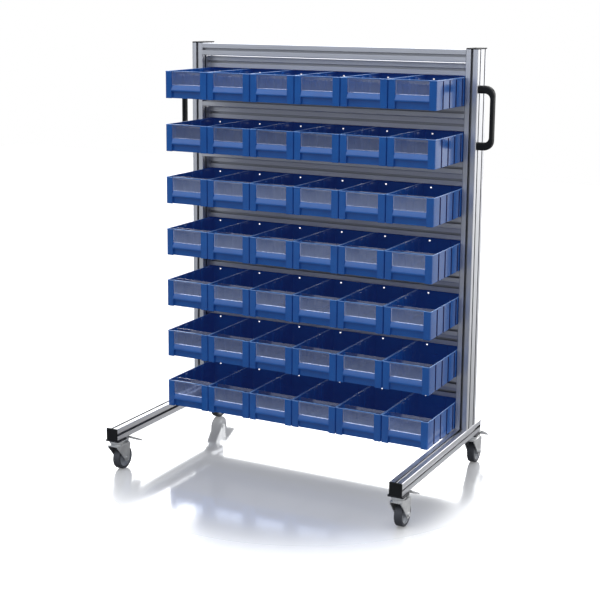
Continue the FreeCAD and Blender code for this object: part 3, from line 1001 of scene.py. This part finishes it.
def white_floor():
    """A white floor whose polish fades with the distance from the middle. Its own
    light is one strength for the camera and another for mirrors, where it also
    falls from the back right to the front left."""
    finish = Finish("white_floor")
    seen = finish.ray("Is Camera Ray") + finish.ray("Is Transmission Ray")
    mirrored = finish.ray("Is Glossy Ray")
    bounced = finish.ray("Is Diffuse Ray")
    distance = finish.add("VectorMath", {"operation": "LENGTH"}, {0: finish.place}, output="Value")
    to_back = finish.reach(finish.place, back_right)
    matt = finish.ramp(distance, low=0.42, high=0.92, shape="SMOOTHERSTEP")
    far = finish.ramp(distance, low=1.6, high=4.5)
    lit = finish.ramp(to_back, low=-1.2, high=0.2, dark=0.4)
    white = finish.mix(far, tone(240, 241, 243), tone(110, 112, 116))
    grey = finish.mix(lit, tone(48, 50, 55), tone(112, 113, 116))
    own_white = matt * 0.32 + 0.12 + far * 0.45
    mirrored_white = (far * 0.3 + 0.17) * lit
    return finish.surface(
        Base_Color=finish.mix(mirrored * (1 - far * lit) + bounced, white, grey),
        Metallic=(1 - matt) * 0.55,
        Roughness=matt * 0.4 + 0.09,
        Emission_Color=(1.0, 1.0, 1.0, 1.0),
        Emission_Strength=seen * own_white + mirrored * mirrored_white,
    )


floor_half = 7.0
under = -0.5 * MM
signs = [(-1, -1), (1, -1), (1, 1), (-1, 1)]
floor_corners = [(x * floor_half, y * floor_half, under) for x, y in signs]
floor_mesh = bpy.data.meshes.new("floor")
floor_mesh.from_pydata(floor_corners, [], [(0, 1, 2, 3)])
floor = bpy.data.objects.new("floor", floor_mesh)
floor.data.materials.append(white_floor())
bpy.context.scene.collection.objects.link(floor)
print("the floor is", 2 * floor_half, "metres wide")

# %% [markdown]
# ## Light
# Large soft lamps stand in front, above and on the right. A lamp that a mirror
# shows is a hard bright square on the metal, so mirrors don't show the lamps. They
# show the room, which is dim and cool in front and bright above and behind on the
# right. So faces to the right are pale, and fronts are deep in colour.

# %% Lamps


def soft_light(name, place, target, size, power):
    """A square lamp that faces a point, lights things softly and isn't seen or mirrored."""
    lamp = bpy.data.lights.new(name, "AREA")
    lamp.size = size
    lamp.energy = power
    made = bpy.data.objects.new(name, lamp)
    bpy.context.scene.collection.objects.link(made)
    aim = np.array(target) - np.array(place)
    flat = math.hypot(aim[0], aim[1])
    made.location = place
    made.rotation_euler = (math.atan2(flat, -aim[2]), 0.0, math.atan2(aim[1], aim[0]) - math.pi / 2)
    made.visible_camera = False
    made.visible_glossy = False


middle = (0.0, 0.0, 0.7)
soft_light("front_light", (-1.4, -3.4, 3.4), middle, size=2.6, power=29.0)
soft_light("top_light", (0.2, -0.8, 4.2), middle, size=3.0, power=70.0)
soft_light("right_light", (3.8, 1.6, 1.8), middle, size=2.0, power=36.0)

# %% Room


def room():
    """A room that lights things softly and a little cool. The camera sees it plain
    white. Mirrors see a strength that grows behind on the right and above, and is
    less for a mirror seen in a mirror."""
    world = bpy.data.worlds.new("room")
    tree = NodeTree(world)

    def backdrop(colour, strength):
        """Light of one colour from all round, by a strength."""
        return tree.add("Background", {}, {"Color": colour, "Strength": strength})

    def either(share, first, second):
        """The first light where a share is 0 and the second where it is 1."""
        return tree.add("MixShader", {}, {0: share, 1: first, 2: second})

    white = (1.0, 1.0, 1.0, 1.0)
    direction = tree.add("TexCoord", output="Generated")
    height = tree.add("SeparateXYZ", {}, {0: direction}, output="Z")
    to_back = tree.reach(direction, back_right)
    behind = tree.ramp(to_back, low=0.1, high=0.8, dark=0.2, bright=1.6)
    above = tree.ramp(height, low=-0.02, high=0.36, dark=0.0, bright=2.2)
    again = tree.ramp(tree.ray("Glossy Depth"), low=1.0, high=2.0, dark=1.0, bright=0.6)
    strength = (behind + above) * again
    in_front = tree.ramp(to_back, low=-0.8, high=0.2, dark=1.0, bright=0.0)
    cool = (0.95, 1.0, 1.1, 1.0)
    mirror = either(in_front, backdrop(white, strength), backdrop(cool, strength))
    pale_blue = (0.9, 0.94, 1.0, 1.0)
    lit = either(tree.ray("Is Glossy Ray"), backdrop(pale_blue, 0.6), mirror)
    rays = {0: tree.ray("Is Camera Ray"), 1: tree.ray("Is Transmission Ray")}
    seen = tree.add("Math", {"operation": "MAXIMUM"}, rays)
    tree.add("OutputWorld", {}, {0: either(seen, lit, backdrop(white, 1.0))})
    return world


bpy.context.scene.world = room()
print("the room is", bpy.context.scene.world.name)

# %% [markdown]
# ## Camera
# The view is that of a long lens, from the front right and a little above. The
# lens is shifted, which keeps upright edges nearer to upright than tilting the
# camera would. Turn, tilt and roll are in degrees, and the place is in metres from
# the middle of the cart, with the distance counted from the front of the rails.

# %% Place the camera

camera_data = bpy.data.cameras.new("camera")
camera_data.sensor_width = 36.0
camera_data.lens = 77.14
camera_data.shift_y = -0.12
camera = bpy.data.objects.new("camera", camera_data)
bpy.context.scene.collection.objects.link(camera)
turn, tilt, roll = [math.radians(angle) for angle in (27.37, 9.90, 0.47)]
to_right, to_front, eye_height = 1.8384, 3.7316, 1.4848
pose = Matrix.Rotation(turn, 4, "Z") @ Matrix.Rotation(math.pi / 2 - tilt, 4, "X")
pose = pose @ Matrix.Rotation(roll, 4, "Z")
camera.matrix_world = Matrix.Translation((to_right, rails_front - to_front, eye_height)) @ pose
bpy.context.scene.camera = camera
bpy.context.scene.view_settings.view_transform = "Standard"
print("camera at", [round(value, 3) for value in camera.location])
